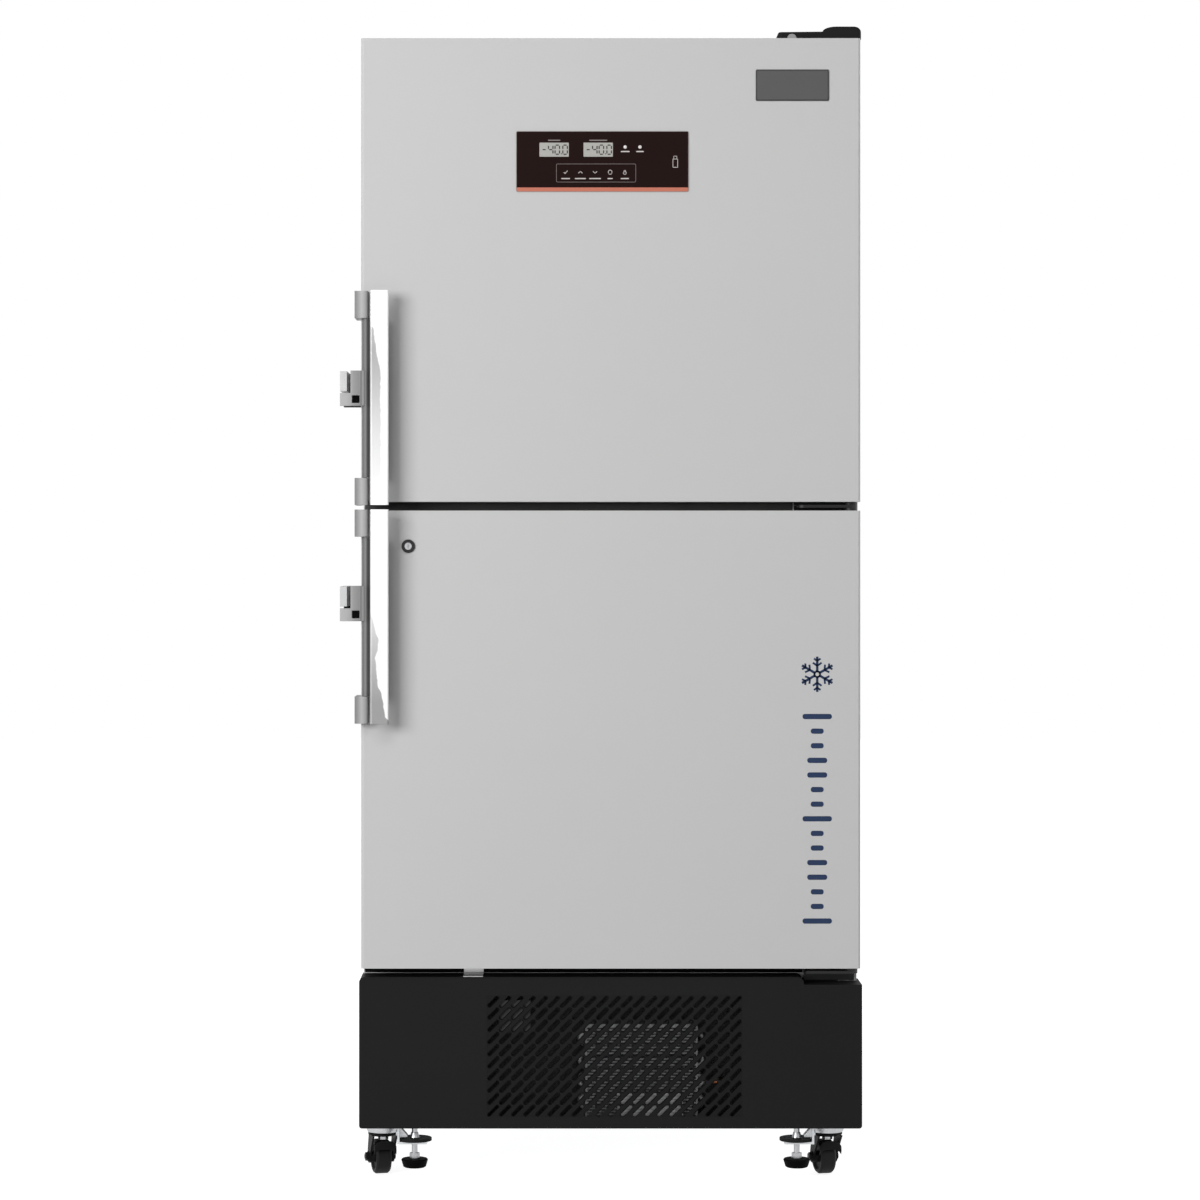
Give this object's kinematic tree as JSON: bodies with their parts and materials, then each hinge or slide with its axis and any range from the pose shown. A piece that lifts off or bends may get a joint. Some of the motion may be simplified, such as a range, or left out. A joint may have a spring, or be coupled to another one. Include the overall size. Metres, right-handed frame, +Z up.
{
  "type": "biomedical freezer",
  "caption": "Upright two-door laboratory freezer with pry handles, a control panel, a slotted base grille and swivel casters.",
  "frame": {"origin": "middle of the whole footprint, on the floor under the casters", "axes": "+Z up, -Y towards the doors, +X to the right seen from the front, on the hinge side"},
  "size_m": [0.8896, 0.847, 1.976],
  "materials": {
    "white_coat": "fine satin powder coat",
    "black_plastic": "fine grained black plastic",
    "black_metal": "black powder coat",
    "galvanised": "galvanised sheet",
    "stainless": "brushed stainless",
    "bright_metal": "satin chrome",
    "cast_grey": "blasted die casting",
    "white_plastic": "smooth moulded",
    "foam": "rigid foam",
    "gasket": "soft magnetic seal",
    "overlay": "printed film over brown black panel",
    "lcd": "display window",
    "badge": "bare dark plate",
    "copper": "drawn copper tube",
    "wheel": "hard caster wheel",
    "compressor_paint": "black enamel",
    "aluminium": "mill finish"
  },
  "bodies": {
    "root": {"cabinet_insulation": "foam", "outer_shell": "white_coat", "back_panel": "galvanised", "front_frame": "white_coat", "upper_liner": "white_coat", "lower_liner": "white_coat", "upper_shelves": "stainless", "lower_shelves": "stainless", "evaporator_tubes": "copper", "base_tray": "galvanised", "base_side_panels": "white_coat", "base_front_panel": "black_plastic", "vent_grille": "black_plastic", "rear_vent_cover": "galvanised", "compressor": "compressor_paint", "condenser": "aluminium", "fan_shroud": "black_metal", "refrigerant_pipes": "copper", "electrical_box": "galvanised", "caster_plates": "galvanised", "foot_brackets": "galvanised", "foot_lock_nuts": "black_plastic", "top_hinge": "stainless", "top_hinge_cover": "black_plastic", "middle_hinge": "black_metal", "bottom_hinge": "black_metal", "latch_keepers": "cast_grey", "front_panel_clip": "stainless"},
    "upper_door": {"upper_door_skin": "white_coat", "upper_door_foam": "foam", "upper_door_liner": "white_plastic", "upper_door_gasket": "gasket", "upper_door_caps": "white_plastic", "upper_handle_brackets": "cast_grey", "control_overlay": "overlay", "lcd_windows": "lcd", "badge_plate": "badge"},
    "lower_door": {"lower_door_skin": "white_coat", "lower_door_foam": "foam", "lower_door_liner": "white_plastic", "lower_door_gasket": "gasket", "lower_door_caps": "white_plastic", "lower_handle_brackets": "cast_grey", "lock_barrel": "bright_metal"},
    "upper_handle": {"upper_handle_grip": "bright_metal", "upper_latch_arm": "cast_grey"},
    "lower_handle": {"lower_handle_grip": "bright_metal", "lower_latch_arm": "cast_grey"},
    "door_lock": {"lock_plug": "bright_metal"},
    "condenser_fan": {"fan_blade": "black_plastic"},
    "foot_left": {"levelling_foot_left": "black_plastic"},
    "foot_right": {"levelling_foot_right": "black_plastic"},
    "fork_front_left": {"caster_fork_front_left": "black_metal"},
    "wheel_front_left": {"caster_wheel_front_left": "wheel"},
    "fork_front_right": {"caster_fork_front_right": "black_metal"},
    "wheel_front_right": {"caster_wheel_front_right": "wheel"},
    "fork_rear_left": {"caster_fork_rear_left": "black_metal"},
    "wheel_rear_left": {"caster_wheel_rear_left": "wheel"},
    "fork_rear_right": {"caster_fork_rear_right": "black_metal"},
    "wheel_rear_right": {"caster_wheel_rear_right": "wheel"}
  },
  "joints": [
    {"name": "upper_door_hinge", "type": "hinge", "parent": "root", "child": "upper_door", "pos_m": [0.42575, -0.3465, 1.158], "axis": [0, 0, 1], "range_deg": [0, 110]},
    {"name": "upper_handle_pull", "type": "hinge", "parent": "upper_door", "child": "upper_handle", "pos_m": [-0.40325, -0.3925, 1.341], "axis": [0, 0, -1], "range_deg": [0, 20], "stiffness_Nm_per_rad": 1, "springref_deg": -11.46},
    {"name": "lower_door_hinge", "type": "hinge", "parent": "root", "child": "lower_door", "pos_m": [0.42575, -0.3465, 1.158], "axis": [0, 0, 1], "range_deg": [0, 110]},
    {"name": "lower_handle_pull", "type": "hinge", "parent": "lower_door", "child": "lower_handle", "pos_m": [-0.40325, -0.3925, 0.9705], "axis": [0, 0, -1], "range_deg": [0, 20], "stiffness_Nm_per_rad": 1, "springref_deg": -11.46},
    {"name": "lock_turn", "type": "hinge", "parent": "lower_door", "child": "door_lock", "pos_m": [-0.32945, -0.3785, 1.0899], "axis": [0, 1, 0], "range_deg": [0, 90]},
    {"name": "fan_spin", "type": "hinge", "parent": "root", "child": "condenser_fan", "pos_m": [0.06895, -0.2155, 0.187], "axis": [0, 1, 0], "continuous": true},
    {"name": "swivel_front_left", "type": "hinge", "parent": "root", "child": "fork_front_left", "pos_m": [-0.37775, -0.2635, 0.074], "axis": [0, 0, 1], "continuous": true},
    {"name": "roll_front_left", "type": "hinge", "parent": "fork_front_left", "child": "wheel_front_left", "pos_m": [-0.38241, -0.24611, 0.03], "axis": [0.9659, 0.2588, 0], "continuous": true},
    {"name": "swivel_front_right", "type": "hinge", "parent": "root", "child": "fork_front_right", "pos_m": [0.39225, -0.2635, 0.074], "axis": [0, 0, 1], "continuous": true},
    {"name": "roll_front_right", "type": "hinge", "parent": "fork_front_right", "child": "wheel_front_right", "pos_m": [0.38759, -0.24611, 0.03], "axis": [0.9659, 0.2588, 0], "continuous": true},
    {"name": "swivel_rear_left", "type": "hinge", "parent": "root", "child": "fork_rear_left", "pos_m": [-0.37775, 0.3685, 0.074], "axis": [0, 0, 1], "continuous": true},
    {"name": "roll_rear_left", "type": "hinge", "parent": "fork_rear_left", "child": "wheel_rear_left", "pos_m": [-0.38241, 0.38589, 0.03], "axis": [0.9659, 0.2588, 0], "continuous": true},
    {"name": "swivel_rear_right", "type": "hinge", "parent": "root", "child": "fork_rear_right", "pos_m": [0.39225, 0.3685, 0.074], "axis": [0, 0, 1], "continuous": true},
    {"name": "roll_rear_right", "type": "hinge", "parent": "fork_rear_right", "child": "wheel_rear_right", "pos_m": [0.38759, 0.38589, 0.03], "axis": [0.9659, 0.2588, 0], "continuous": true},
    {"name": "foot_screw_left", "type": "slide", "parent": "root", "child": "foot_left", "axis": [0, 0, -1], "range_m": [-0.006, 0.026]},
    {"name": "foot_screw_right", "type": "slide", "parent": "root", "child": "foot_right", "axis": [0, 0, -1], "range_m": [-0.006, 0.026]}
  ]
}
